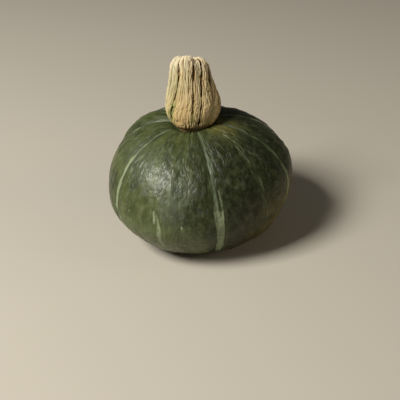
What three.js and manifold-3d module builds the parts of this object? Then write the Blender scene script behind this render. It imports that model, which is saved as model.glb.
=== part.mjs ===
// A kabocha squash as picked: one flattened, softly lobed fruit and the thick corky stem it hung by.
// Millimetres, +Z up. The origin lies on the ground under the middle of the whole squash, the fruit
// rests on its blossom end, and azimuths are counted in degrees from the front (-Y) towards +X.
import * as THREE from 'three';
import { mergeVertices } from 'three/addons/utils/BufferGeometryUtils.js';
import Module from 'manifold-3d';

const wasm = await Module();
wasm.setup();

// ---- driving dimensions: fruit ----
const FRUIT_RADIUS = 74.5; // at the widest part of the lobes
const FRUIT_HEIGHT = 96; // ground to the highest part of the shoulder
const FURROW_FADE_RADIUS = 36; // the furrows run out towards both poles inside this radius
const FURROW_SHARPNESS = 0.75; // below 1 makes full round lobes with narrow furrows between them
// Furrows between the lobes: how far each lies below the crests beside it, and how far the lobe
// after it swells beyond the even round of the others.
const FURROWS = [
  { azimuth: 11, depth: 1.5, swell: 0 },
  { azimuth: 46, depth: 0.5, swell: 0.3 },
  { azimuth: 71, depth: 1.2, swell: 0 },
  { azimuth: 108, depth: 0.6, swell: 0 },
  { azimuth: 145, depth: 2.2, swell: -1.2 },
  { azimuth: 182, depth: 1.6, swell: -0.2 },
  { azimuth: 219, depth: 1.1, swell: 0.8 },
  { azimuth: 257, depth: 2.4, swell: -0.3 },
  { azimuth: 304, depth: 1.4, swell: -0.5 },
  { azimuth: 322, depth: 0.4, swell: 0 },
  { azimuth: 350, depth: 0.6, swell: -0.6 },
];
const FOOT = { x: 0.1, y: 0 }; // where the core line meets the ground

// The squash grew lying on one side, so its top leans towards -X while its foot is level.
const LEAN = THREE.MathUtils.degToRad(5.6);
const LEAN_FULL_HEIGHT = 50; // the lean comes in between the ground and this height

// Unevenness of the outline seen from above: shares of the radius, with the azimuth of a bulge.
const OVAL = { share: 0.028, azimuth: THREE.MathUtils.degToRad(-33) };
const THREE_SIDED = { share: 0.028, azimuth: THREE.MathUtils.degToRad(-37) };

// The shoulder slopes a little: shares of the height, taken off the right and the front.
const SHOULDER_START = 46;
const SHOULDER_DROP_RIGHT = 0.072;
const SHOULDER_DROP_FRONT = 0.01;

// Half section of a lobe's crest, stem basin to blossom end, as shares of the radius and the height.
const FRUIT_PROFILE = [
  [0, 0.945],
  [0.15, 0.955],
  [0.31, 0.996],
  [0.495, 0.973],
  [0.7, 0.896],
  [0.867, 0.778],
  [0.984, 0.604],
  [0.998, 0.4],
  [0.893, 0.218],
  [0.73, 0.072],
  [0.5, 0.004],
  [0.3, -0.014],
  [0.18, 0.01],
  [0.115, -0.004],
  [0, -0.004],
];

// ---- driving dimensions: stem ----
const STEM_BASE = { x: -5.5, y: 0, z: 95.3 }; // on its axis, level with the rim of the basin
const STEM_LEFT_TILT = THREE.MathUtils.degToRad(4.2);
const STEM_BACK_TILT = THREE.MathUtils.degToRad(8);
const STEM_TWIST = THREE.MathUtils.degToRad(0.62); // turn of the ridges in each millimetre of height
const STEM_TWIST_LEVEL = 30; // height at which the fissures have the azimuths given below
const STEM_GAP = 0.4; // clearance between the stem's underside and the rind, measured upwards

// Half section of the ridges, underside to crown: radius and height above the base.
const STEM_PROFILE = [
  [0, -9],
  [9, -8],
  [14.6, -2.5],
  [18.9, 3],
  [21.7, 10],
  [21.7, 17],
  [19.5, 26],
  [17.4, 35],
  [15.9, 42],
  [14.3, 47.6],
  [10.8, 51],
  [6, 52],
  [0, 50.2],
];
const STEM_TOP = 52;
const STEM_TOP_RADIUS = 15; // inside this the crown's relief dies away towards the pith

// The crown was cut aslant, lower at the back and a little lower on the right.
const CUT_BACK_SLOPE = Math.tan(THREE.MathUtils.degToRad(12));
const CUT_RIGHT_SLOPE = Math.tan(THREE.MathUtils.degToRad(5));
const CUT_START = 20; // the slant is worked in between this height and the crown

// Dried fissures, with the depth of each at mid height and how far the ridge after it stands up
// above the crown.
const FISSURES = [
  { azimuth: 5, depth: 2.6, tip: -1.6 },
  { azimuth: 28, depth: 2.9, tip: -0.5 },
  { azimuth: 56, depth: 2.0, tip: -0.8 },
  { azimuth: 86, depth: 2.6, tip: 0.3 },
  { azimuth: 118, depth: 2.0, tip: -0.5 },
  { azimuth: 152, depth: 3.0, tip: 0.9 },
  { azimuth: 187, depth: 2.2, tip: 0.2 },
  { azimuth: 221, depth: 2.8, tip: 1.0 },
  { azimuth: 254, depth: 2.0, tip: -0.6 },
  { azimuth: 289, depth: 2.4, tip: -0.3 },
  { azimuth: 322, depth: 2.6, tip: 2.6 },
];
const FISSURE_SHARPNESS = 0.38; // well below 1, so the ridges are broad and the fissures narrow
// A fissure opens between these two heights; its depth grows from one share to the other upwards.
const FISSURE_OPENING = { from: -4, to: 8, lowShare: 0.55, crownShare: 1.15 };
const CROWN_NOTCH = 0.4; // share of a fissure's depth that it cuts down into the crown
const SIDE_SHARE = 0.6; // least share of it that it cuts inwards, where the surface faces up
const VALLEY = { azimuth: 17, halfWidth: 13, depth: 1.6 }; // one ridge that has sunk back

// ---- finishes ----
const RIND = { color: 0x46552f, roughness: 0.42, metalness: 0 };
const CORK = { color: 0xc0a273, roughness: 0.85, metalness: 0 };

// ---- mesh density ----
const LOBE_STATIONS = [0, 0.05, 0.13, 0.25, 0.41, 0.59, 0.75, 0.87, 0.95];
const FRUIT_RINGS = 30;
const RIDGE_STATIONS = [0, 0.06, 0.16, 0.33, 0.5, 0.67, 0.84, 0.94];
const STEM_RINGS = 26;

const smooth = (t) => THREE.MathUtils.smoothstep(t, 0, 1);

/** Columns of a skin: the same stations between each two neighbouring valleys. */
function makeColumns(valleys, stations) {
  return valleys.flatMap((before, i) => {
    const after = valleys[(i + 1) % valleys.length];
    const span = THREE.MathUtils.euclideanModulo(after.azimuth - before.azimuth, 360);
    return stations.map((share) => ({
      azimuth: THREE.MathUtils.degToRad(before.azimuth + share * span),
      share,
      before,
      nearest: share < 0.5 ? before : after,
    }));
  });
}

/** 0 on the crest midway between two valleys, 1 at the bottom of a valley. */
function valleyShape(share, sharpness) {
  return 1 - Math.sin(Math.PI * share) ** sharpness;
}

/** Closed skin round a half section, its points put in place by place(point, normal, column). */
function skin(profile, rings, columns, place) {
  const curve = new THREE.SplineCurve(profile.map(([r, z]) => new THREE.Vector2(r, z)));
  const turn = columns.length;
  const vertices = [];
  const indices = [];
  for (let ring = 0; ring <= rings; ring += 1) {
    const point = curve.getPointAt(ring / rings);
    const tangent = curve.getTangentAt(ring / rings);
    const along = Math.sign(profile[0][1] - profile.at(-1)[1]);
    const normal = new THREE.Vector2(-tangent.y, tangent.x).multiplyScalar(along);
    const pole = ring === 0 || ring === rings;
    const around = pole ? columns.slice(0, 1) : columns;
    around.forEach((column) => vertices.push(...place(point, normal, column)));
  }
  const index = (ring, i) => (ring === 0 ? 0 : 1 + (ring - 1) * turn + (i % turn));
  const last = vertices.length / 3 - 1;
  for (let i = 0; i < turn; i += 1) {
    indices.push(0, index(1, i), index(1, i + 1));
    for (let ring = 1; ring < rings - 1; ring += 1) {
      const [a, b] = [index(ring, i), index(ring, i + 1)];
      const [c, d] = [index(ring + 1, i), index(ring + 1, i + 1)];
      indices.push(a, c, d, a, d, b);
    }
    indices.push(index(rings - 1, i), last, index(rings - 1, i + 1));
  }
  const rising = profile[0][1] < profile.at(-1)[1];
  if (rising) indices.reverse();
  const geometry = new THREE.BufferGeometry();
  geometry.setAttribute('position', new THREE.Float32BufferAttribute(vertices, 3));
  geometry.setIndex(indices);
  return geometry;
}

/** One point of the fruit's rind. */
function rindPoint(point, normal, { azimuth, share: across, before, nearest }) {
  const share = point.x / FRUIT_RADIUS;
  const furrow = nearest.depth * valleyShape(across, FURROW_SHARPNESS);
  const swelling = before.swell * Math.sin(Math.PI * across);
  const sunk = (furrow - swelling) * smooth(point.x / FURROW_FADE_RADIUS);
  const oval = OVAL.share * Math.cos(2 * (azimuth - OVAL.azimuth));
  const threeSided = THREE_SIDED.share * Math.cos(3 * (azimuth - THREE_SIDED.azimuth));
  const radius = (point.x - sunk * normal.x) * (1 + share * (oval + threeSided));
  const side = SHOULDER_DROP_RIGHT * Math.sin(azimuth) + SHOULDER_DROP_FRONT * Math.cos(azimuth);
  const shoulder = smooth((point.y - SHOULDER_START) / (FRUIT_HEIGHT - SHOULDER_START));
  const height = (point.y - sunk * normal.y) * (1 - share ** 2 * shoulder * side);
  const x = radius * Math.sin(azimuth);
  const grown = THREE.MathUtils.clamp(height / LEAN_FULL_HEIGHT, 0, 1);
  const lean = LEAN * smooth(grown);
  const drift = LEAN * LEAN_FULL_HEIGHT * (grown ** 3 - grown ** 4 / 2)
    + LEAN * Math.max(height - LEAN_FULL_HEIGHT, 0);
  return [
    FOOT.x + x * Math.cos(lean) - drift,
    FOOT.y - radius * Math.cos(azimuth),
    Math.max(height + x * Math.sin(lean), 0), // flattened where it rests
  ];
}

/** The fruit: rind, flesh and seed cavity grew as one closed body. */
function makeFruit() {
  const profile = FRUIT_PROFILE.map(([r, z]) => [r * FRUIT_RADIUS, z * FRUIT_HEIGHT]);
  return skin(profile, FRUIT_RINGS, makeColumns(FURROWS, LOBE_STATIONS), rindPoint);
}

/** One point of the corky stem, before its underside is fitted to the rind. */
function stemPoint(point, normal, { azimuth, share, before, nearest }) {
  const rise = smooth(point.y / STEM_TOP);
  const opened = THREE.MathUtils.smoothstep(point.y, FISSURE_OPENING.from, FISSURE_OPENING.to);
  const deepened = THREE.MathUtils.lerp(FISSURE_OPENING.lowShare, FISSURE_OPENING.crownShare, rise);
  const degrees = THREE.MathUtils.radToDeg(azimuth);
  const offValley = THREE.MathUtils.euclideanModulo(degrees - VALLEY.azimuth + 180, 360) - 180;
  const valley = VALLEY.depth * rise * (1 - smooth(Math.abs(offValley) / VALLEY.halfWidth));
  const inner = Math.min(point.x / STEM_TOP_RADIUS, 1);
  const fissure = valleyShape(share, FISSURE_SHARPNESS);
  const sunk = (nearest.depth * opened * deepened * fissure + valley) * inner;
  const radius = point.x - sunk * Math.max(normal.x, SIDE_SHARE);
  const turned = azimuth + STEM_TWIST * (point.y - STEM_TWIST_LEVEL);
  const x = radius * Math.sin(turned);
  const y = -radius * Math.cos(turned);
  const slant = smooth((point.y - CUT_START) / (STEM_TOP - CUT_START));
  const cut = -(CUT_BACK_SLOPE * y + CUT_RIGHT_SLOPE * x) * slant;
  const crest = before.tip * (1 - fissure) * rise ** 3 * inner;
  const height = point.y - sunk * Math.max(normal.y, 0) * CROWN_NOTCH + crest + cut;
  return [x, y, height];
}

/** Manifold solid of a geometry, in the same coordinates. */
function toSolid(geometry) {
  const plain = geometry.clone();
  plain.deleteAttribute('normal');
  plain.deleteAttribute('uv');
  const merged = mergeVertices(plain);
  return new wasm.Manifold(new wasm.Mesh({
    numProp: 3,
    vertProperties: Float32Array.from(merged.attributes.position.array),
    triVerts: Uint32Array.from(merged.index.array),
  }));
}

/** Geometry of a manifold solid. */
function toGeometry(solid) {
  const mesh = solid.getMesh();
  const geometry = new THREE.BufferGeometry();
  const points = Float32Array.from(mesh.vertProperties);
  geometry.setAttribute('position', new THREE.BufferAttribute(points, 3));
  geometry.setIndex(new THREE.BufferAttribute(Uint32Array.from(mesh.triVerts), 1));
  return geometry;
}

/** The stem: leaned over, then hollowed underneath to the shape of the basin it grew from. */
function makeStem(fruit) {
  const stem = skin(STEM_PROFILE, STEM_RINGS, makeColumns(FISSURES, RIDGE_STATIONS), stemPoint);
  stem.rotateY(-STEM_LEFT_TILT);
  stem.rotateX(-STEM_BACK_TILT);
  stem.translate(STEM_BASE.x, STEM_BASE.y, STEM_BASE.z);
  const lifted = fruit.clone().translate(0, 0, STEM_GAP);
  return toGeometry(toSolid(stem).subtract(toSolid(lifted)));
}

/** A named piece with its own finish. */
function piece(name, geometry, finish) {
  geometry.computeVertexNormals();
  const mesh = new THREE.Mesh(geometry, new THREE.MeshStandardMaterial(finish));
  mesh.name = name;
  return mesh;
}

const group = new THREE.Group();
const fruitGeometry = makeFruit();
group.add(piece('fruit', fruitGeometry, RIND));
group.add(piece('stem', makeStem(fruitGeometry), CORK));

export default group;
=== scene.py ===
"""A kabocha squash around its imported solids: a fine lobed rind and a fine corky stem.

Skins are worked out in millimetres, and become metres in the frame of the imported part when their
meshes are made: +Z up, the squash resting at the origin. Azimuths are counted in degrees from the
front (-Y) towards +X. "Along" runs down a skin from 0 at its top pole to 1 at its bottom pole.
"""

import logging
import math
from dataclasses import asdict, dataclass
from enum import Enum
from typing import Sequence

import bpy
import numpy as np
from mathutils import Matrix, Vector


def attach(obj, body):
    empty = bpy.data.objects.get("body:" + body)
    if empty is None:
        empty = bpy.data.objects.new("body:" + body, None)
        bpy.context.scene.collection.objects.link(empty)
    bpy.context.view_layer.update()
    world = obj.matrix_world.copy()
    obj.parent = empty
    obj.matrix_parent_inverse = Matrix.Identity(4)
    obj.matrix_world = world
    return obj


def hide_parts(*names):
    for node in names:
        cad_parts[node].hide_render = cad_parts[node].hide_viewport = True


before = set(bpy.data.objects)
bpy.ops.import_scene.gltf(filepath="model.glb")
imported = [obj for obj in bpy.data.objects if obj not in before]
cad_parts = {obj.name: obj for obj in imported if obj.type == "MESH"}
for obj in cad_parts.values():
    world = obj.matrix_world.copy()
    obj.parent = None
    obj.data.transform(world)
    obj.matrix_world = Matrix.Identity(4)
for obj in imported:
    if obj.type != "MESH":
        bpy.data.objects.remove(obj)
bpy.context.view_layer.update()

LOG = logging.getLogger("squash")
BODY = "root"
MM = 0.001
TURN = 2 * math.pi

Colour = tuple[float, float, float]
Knots = Sequence[tuple[float, float]]
Fade = tuple[float, float]  # where a soft step starts, and how far it reaches, forwards or backwards
Socket = bpy.types.NodeSocket
Feed = Socket | float | Colour
Coat = tuple[Feed, Socket, float]


class Mark(Enum):
    """Names of the values that the meshes carry for their finishes."""

    GRAIN = "grain"  # place on the unrolled skin, in millimetres
    STRIPE = "stripe"  # millimetres inside a pale stripe, negative outside
    TONE = "tone"  # how pale the nearest stripe is, 0 to 1
    FURROW = "furrow"  # up to 1 along a furrow, 0 a few millimetres away
    BLUSH = "blush"  # where the rind is tinted olive, partly painted reflected light low on the right, and the cork brown, partly painted shade
    SHADE = "shade"  # painted shade: where the rind is painted darkest, and the cork's left side painted greyer
    BLOOM = "bloom"  # painted sheen: where the rind is painted paler to spread the highlight
    ALONG = "along"  # 0 at the top pole, 1 at the bottom pole
    CREVICE = "crevice"  # how much painted shade a place gets between the corky ridges
    GREEN = "green"  # where the cork is still green
    FOOT = "foot"  # 1 where the stem meets the rind, 0 a few millimetres above; the cork is painted darker there as shade


# ---------------------------------------------------------------- numbers over a surface


def smooth(value: np.ndarray | float) -> np.ndarray:
    """Soft step from 0 at value 0 to 1 at value 1."""
    held = np.clip(value, 0.0, 1.0)
    return held * held * (3.0 - 2.0 * held)


def ramp(value: np.ndarray | float, start: float, reach: float) -> np.ndarray:
    """Soft step from 0 at start to 1 a reach further on, or further back if the reach is negative."""
    return smooth((value - start) / reach)


def bell(offset: np.ndarray, width: float) -> np.ndarray:
    """Soft bump of height 1 that has mostly died away at twice the width."""
    return np.exp(-((offset / width) ** 2))


def turn_between(azimuth: np.ndarray, centre: float | np.ndarray) -> np.ndarray:
    """Signed angle in degrees from a centre to azimuths."""
    return (azimuth - centre + 180.0) % 360.0 - 180.0


def facing(azimuth: np.ndarray, centre: float, spread: float) -> np.ndarray:
    """Soft bump of height 1 on the side of a skin that faces an azimuth, all in degrees."""
    return bell(turn_between(azimuth, centre), spread)


def knotted(place: np.ndarray, knots: Knots, outside: float | None = None) -> np.ndarray:
    """Value at each place between knots, holding the end values beyond them unless told otherwise."""
    places, values = zip(*knots)
    return np.interp(place, places, values, left=outside, right=outside)


def valley_shape(share: np.ndarray, sharpness: float) -> np.ndarray:
    """0 on the crest midway between two valleys, 1 at the bottom of a valley."""
    return 1.0 - np.maximum(np.sin(math.pi * share), 0.0) ** sharpness


def spline(points: Knots, count: int) -> np.ndarray:
    """Smooth curve through points, with stations evenly spaced along its length.

    Args:
        points: The points that the curve passes through, in order.
        count: How many stations to return, both ends included.

    Returns:
        Array of count rows, as wide as the points.
    """
    knots = np.asarray(points, float)
    spans = len(knots) - 1
    place = np.linspace(0, spans, 40 * spans + 1)
    low = np.minimum(place.astype(int), spans - 1)
    share = (place - low)[:, None]
    before, start = knots[np.maximum(low - 1, 0)], knots[low]
    end, after = knots[low + 1], knots[np.minimum(low + 2, spans)]
    leave, arrive = (end - before) / 2, (after - start) / 2
    curve = start + leave * share
    curve += (3 * (end - start) - 2 * leave - arrive) * share**2
    curve += (2 * (start - end) + leave + arrive) * share**3
    length = np.append(0, np.cumsum(np.linalg.norm(np.diff(curve, axis=0), axis=1)))
    even = np.linspace(0, length[-1], count)
    return np.stack([np.interp(even, length, column) for column in curve.T], axis=1)


class SolidNoise:
    """Seeded gradient noise in space, roughly between -1 and 1."""

    def __init__(self, seed: int) -> None:
        """Draws the lattice.

        Args:
            seed: The same seed always gives the same noise.
        """
        draw = np.random.default_rng(seed)
        self.order = draw.permutation(256)
        slopes = draw.normal(size=(256, 3))
        self.slopes = slopes / np.linalg.norm(slopes, axis=1, keepdims=True)

    def at(self, points: np.ndarray) -> np.ndarray:
        """Noise at each point of an array whose last axis holds x, y and z."""
        cell = np.floor(points).astype(int)
        local = points - cell
        fade = local**3 * (local * (local * 6.0 - 15.0) + 10.0)
        total = np.zeros(points.shape[:-1])
        for corner in np.ndindex(2, 2, 2):
            key = self.order[(cell[..., 0] + corner[0]) % 256]
            key = self.order[(key + cell[..., 1] + corner[1]) % 256]
            key = self.order[(key + cell[..., 2] + corner[2]) % 256]
            weight = np.prod(np.where(np.array(corner), fade, 1.0 - fade), axis=-1)
            total += weight * np.sum(self.slopes[key] * (local - corner), axis=-1)
        return 1.6 * total


@dataclass(frozen=True)
class Grid:
    """A half section turned round its core line: arrays of rings by columns, in millimetres."""

    curve: np.ndarray  # radius and height of the half section, both poles included
    slope: np.ndarray  # its outward normals, both poles included
    radius: np.ndarray
    height: np.ndarray
    normal: np.ndarray  # outward normal of the half section, last axis 2
    along: np.ndarray
    azimuth: np.ndarray  # degrees
    share: np.ndarray  # of the way from the valley before to the valley after
    before: np.ndarray  # number of the valley before
    nearest: np.ndarray  # number of the nearest valley
    off_valley: np.ndarray  # distance from the nearest valley
    grain: np.ndarray  # place on the skin unrolled to a cylinder as wide as it, last axis 3

    @staticmethod
    def turn(profile: Knots, valleys: Sequence[float], rings: int, per_span: int, crowding: float) -> "Grid":
        """Turns a half section round.

        Args:
            profile: Radius and height at points of the half section, from the top pole down.
            valleys: Azimuths of the valleys in degrees, rising.
            rings: How many rings stand between the poles.
            per_span: How many columns stand between two neighbouring valleys.
            crowding: 0 spaces the columns evenly, towards 1 they crowd at the valleys.

        Returns:
            The grid.
        """
        curve = spline(profile, rings + 2)
        tangent = np.gradient(curve, axis=0)
        slope = np.stack([-tangent[:, 1], tangent[:, 0]], axis=1)
        slope /= np.linalg.norm(slope, axis=1, keepdims=True)
        length = np.append(0, np.cumsum(np.linalg.norm(np.diff(curve, axis=0), axis=1)))
        low = np.asarray(valleys, float)
        span = np.append(low[1:], low[0] + 360) - low
        even = np.arange(per_span) / per_span
        one = even - crowding * np.sin(TURN * even) / TURN
        columns = (low[:, None] + one * span[:, None]).ravel()
        before = np.repeat(np.arange(len(low)), per_span)
        share = np.tile(one, len(low))
        off = np.radians(np.minimum(share, 1 - share) * span[before])
        shape = (rings, len(columns))
        radius, height, down = (np.broadcast_to(v[1:-1, None], shape) for v in (*curve.T, length))
        azimuth, share, before, off = (np.broadcast_to(v, shape) for v in (columns, share, before, off))
        turned = np.radians(azimuth)
        widest = curve[:, 0].max()
        return Grid(
            curve=curve, slope=slope, radius=radius, height=height,
            normal=np.broadcast_to(slope[1:-1, None, :], shape + (2,)),
            along=down / length[-1], azimuth=azimuth, share=share, before=before,
            nearest=np.where(share < 0.5, before, (before + 1) % len(low)),
            off_valley=off * radius,
            grain=np.stack([widest * np.cos(turned), widest * np.sin(turned), down], axis=-1),
        )

    def off_line(self, path: Knots) -> np.ndarray:
        """Distance in millimetres from a line through places along and azimuths, signed."""
        return np.radians(turn_between(self.azimuth - knotted(self.along, path), 0)) * self.radius


@dataclass(frozen=True)
class Layer:
    """Seeded noise laid over a skin."""

    seed: int
    strength: float  # in the units of what it is added to
    across: float  # size of a blotch across the meridians, in millimetres
    along: float  # its size along them

    def on(self, grid: Grid) -> np.ndarray:
        """Its value at every point."""
        size = np.array([self.across, self.across, self.along])
        return self.strength * SolidNoise(self.seed).at(grid.grain / size)


@dataclass(frozen=True)
class Patch:
    """A soft patch of a skin, or a side of it."""

    strength: float
    azimuth: float  # of its middle
    spread: float  # in degrees, endless for a patch all round
    along: float  # its middle, or where it starts if it goes on down the skin
    reach: float
    onward: bool = False  # whether it goes on down the skin

    def on(self, grid: Grid) -> np.ndarray:
        """Its strength at every point."""
        beside = facing(grid.azimuth, self.azimuth, self.spread)
        if self.onward:
            return self.strength * beside * ramp(grid.along, self.along, self.reach)
        return self.strength * beside * bell(grid.along - self.along, self.reach)


@dataclass(frozen=True)
class Ring:
    """A soft ring round the core line, sunk where its height is negative. In millimetres."""

    height: float
    radius: float
    width: float

    def on(self, grid: Grid) -> np.ndarray:
        """Its height at every point."""
        return self.height * bell(grid.radius - self.radius, self.width)


@dataclass(frozen=True)
class Puckers:
    """Creases that run out from the core line like spokes. In millimetres."""

    seed: int
    depth: float
    per_radian: float  # roughly how many stand side by side in a radian
    reach: float  # how far one goes before it changes

    def on(self, grid: Grid) -> np.ndarray:
        """Their height at every point, 0 or less."""
        turned = np.radians(grid.azimuth)
        circle = [self.per_radian * np.cos(turned), self.per_radian * np.sin(turned)]
        spokes = np.stack([*circle, grid.radius / self.reach], axis=-1)
        return -self.depth * np.abs(SolidNoise(self.seed).at(spokes))


@dataclass(frozen=True)
class Warts:
    """Elongated domed cells packed over a skin, with creases between them. In millimetres."""

    seed: int
    around: int  # how many stand side by side round the skin
    length: float  # of one along the skin
    dome: float
    crease: float
    rows: int = 64
    sunk_share: float = 0.6  # of a dome, below the plain skin
    crease_width: float = 0.2  # in cells

    def on(self, grid: Grid, sway: np.ndarray) -> tuple[np.ndarray, np.ndarray]:
        """Shapes the cells.

        Args:
            grid: The skin that they cover.
            sway: How far they are pushed aside, in cells.

        Returns:
            Their height at every point, and 1 in the creases between them.
        """
        across = grid.azimuth / 360 * self.around + sway
        down = grid.grain[..., 2] / self.length + 0.5 * sway
        column, row = np.floor(across).astype(int), np.floor(down).astype(int)
        centres = np.random.default_rng(self.seed).uniform(0.08, 0.92, (self.around, self.rows, 2))
        away = []
        for right, below in np.ndindex(3, 3):
            cell_x, cell_y = column + right - 1, row + below - 1
            centre = centres[cell_x % self.around, cell_y % self.rows]
            away.append(np.hypot(cell_x + centre[..., 0] - across, cell_y + centre[..., 1] - down))
        first, second = np.sort(np.stack(away), axis=0)[:2]
        creases = bell(second - first, self.crease_width)
        domes = np.clip(1 - first**2, 0, 1) - self.sunk_share
        return self.dome * domes - self.crease * creases, creases


# ---------------------------------------------------------------- meshes


def add_object(name: str, data: bpy.types.ID) -> bpy.types.Object:
    """Puts a new object into the scene, at the origin."""
    made = bpy.data.objects.new(name, data)
    bpy.context.scene.collection.objects.link(made)
    return made


def closed_skin(name: str, rows: np.ndarray, top: np.ndarray, bottom: np.ndarray) -> bpy.types.Object:
    """Closed mesh of rings between two poles, its faces outwards.

    Args:
        name: Name of the new object.
        rows: Points in millimetres as (rings from the top down, columns by rising azimuth, 3).
        top: The top pole.
        bottom: The bottom pole.

    Returns:
        The new object.
    """
    rings, columns = rows.shape[:2]
    points = np.concatenate([top[None], rows.reshape(-1, 3), bottom[None]]) * MM
    here = np.arange(columns)
    right = (here + 1) % columns
    ring = 1 + np.arange(rings - 1)[:, None] * columns
    quads = np.stack([ring + here, ring + columns + here, ring + columns + right, ring + right], axis=-1)
    last = 1 + (rings - 1) * columns
    faces = [(0, 1 + a, 1 + b) for a, b in zip(here.tolist(), right.tolist())]
    faces += quads.reshape(-1, 4).tolist()
    faces += [(last + a, len(points) - 1, last + b) for a, b in zip(here.tolist(), right.tolist())]
    mesh = bpy.data.meshes.new(name)
    mesh.from_pydata(points, [], faces)
    mesh.shade_smooth()
    return add_object(name, mesh)


def grid_normals(rows: np.ndarray) -> np.ndarray:
    """Outward unit normals at the points of a closed ring grid."""
    down = np.gradient(rows, axis=0)
    across = np.roll(rows, -1, axis=1) - np.roll(rows, 1, axis=1)
    normal = np.cross(down, across)
    return normal / np.maximum(np.linalg.norm(normal, axis=-1, keepdims=True), 1e-12)


def note(piece: bpy.types.Object, marks: dict[Mark, np.ndarray]) -> None:
    """Stores values or vectors at every point of a ring grid, the poles taking their ring's mean.

    Args:
        piece: An object made by closed_skin.
        marks: For each name, one entry for each point of the grid, without the poles.
    """
    for mark, values in marks.items():
        flat = values.reshape(values.shape[0] * values.shape[1], -1)
        top, bottom = (ring.mean(axis=0).reshape(1, -1) for ring in (values[0], values[-1]))
        full = np.concatenate([top, flat, bottom])
        kind, field = ("FLOAT_VECTOR", "vector") if full.shape[1] == 3 else ("FLOAT", "value")
        attribute = piece.data.attributes.new(mark.value, kind, "POINT")
        attribute.data.foreach_set(field, full.astype(np.float32).ravel())


# ---------------------------------------------------------------- fruit


@dataclass(frozen=True)
class Furrow:
    """A furrow between two lobes."""

    azimuth: float
    depth: float  # below the crests beside it, in millimetres
    swell: float = 0.0  # how far the lobe after it stands out beyond the others, in millimetres


@dataclass(frozen=True)
class Fold:
    """A shallow soft fold in a lobe."""

    path: Knots  # place along and azimuth
    middle: float  # place along where it is deepest
    reach: float
    depth: float  # in millimetres
    half_width: float

    def on(self, grid: Grid) -> np.ndarray:
        """Its depth at every point."""
        deep = bell(grid.along - self.middle, self.reach)
        return self.depth * bell(grid.off_line(self.path), self.half_width) * deep


@dataclass(frozen=True)
class Stripe:
    """One pale stripe: its line, how pale it is, and its half width at places along."""

    path: Knots  # place along and azimuth
    tones: Knots  # place along and how pale it is there, 0 to 1
    half_widths: Knots  # in millimetres; a negative one closes the stripe
    ragged: float  # how much its width wavers, as a share


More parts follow.
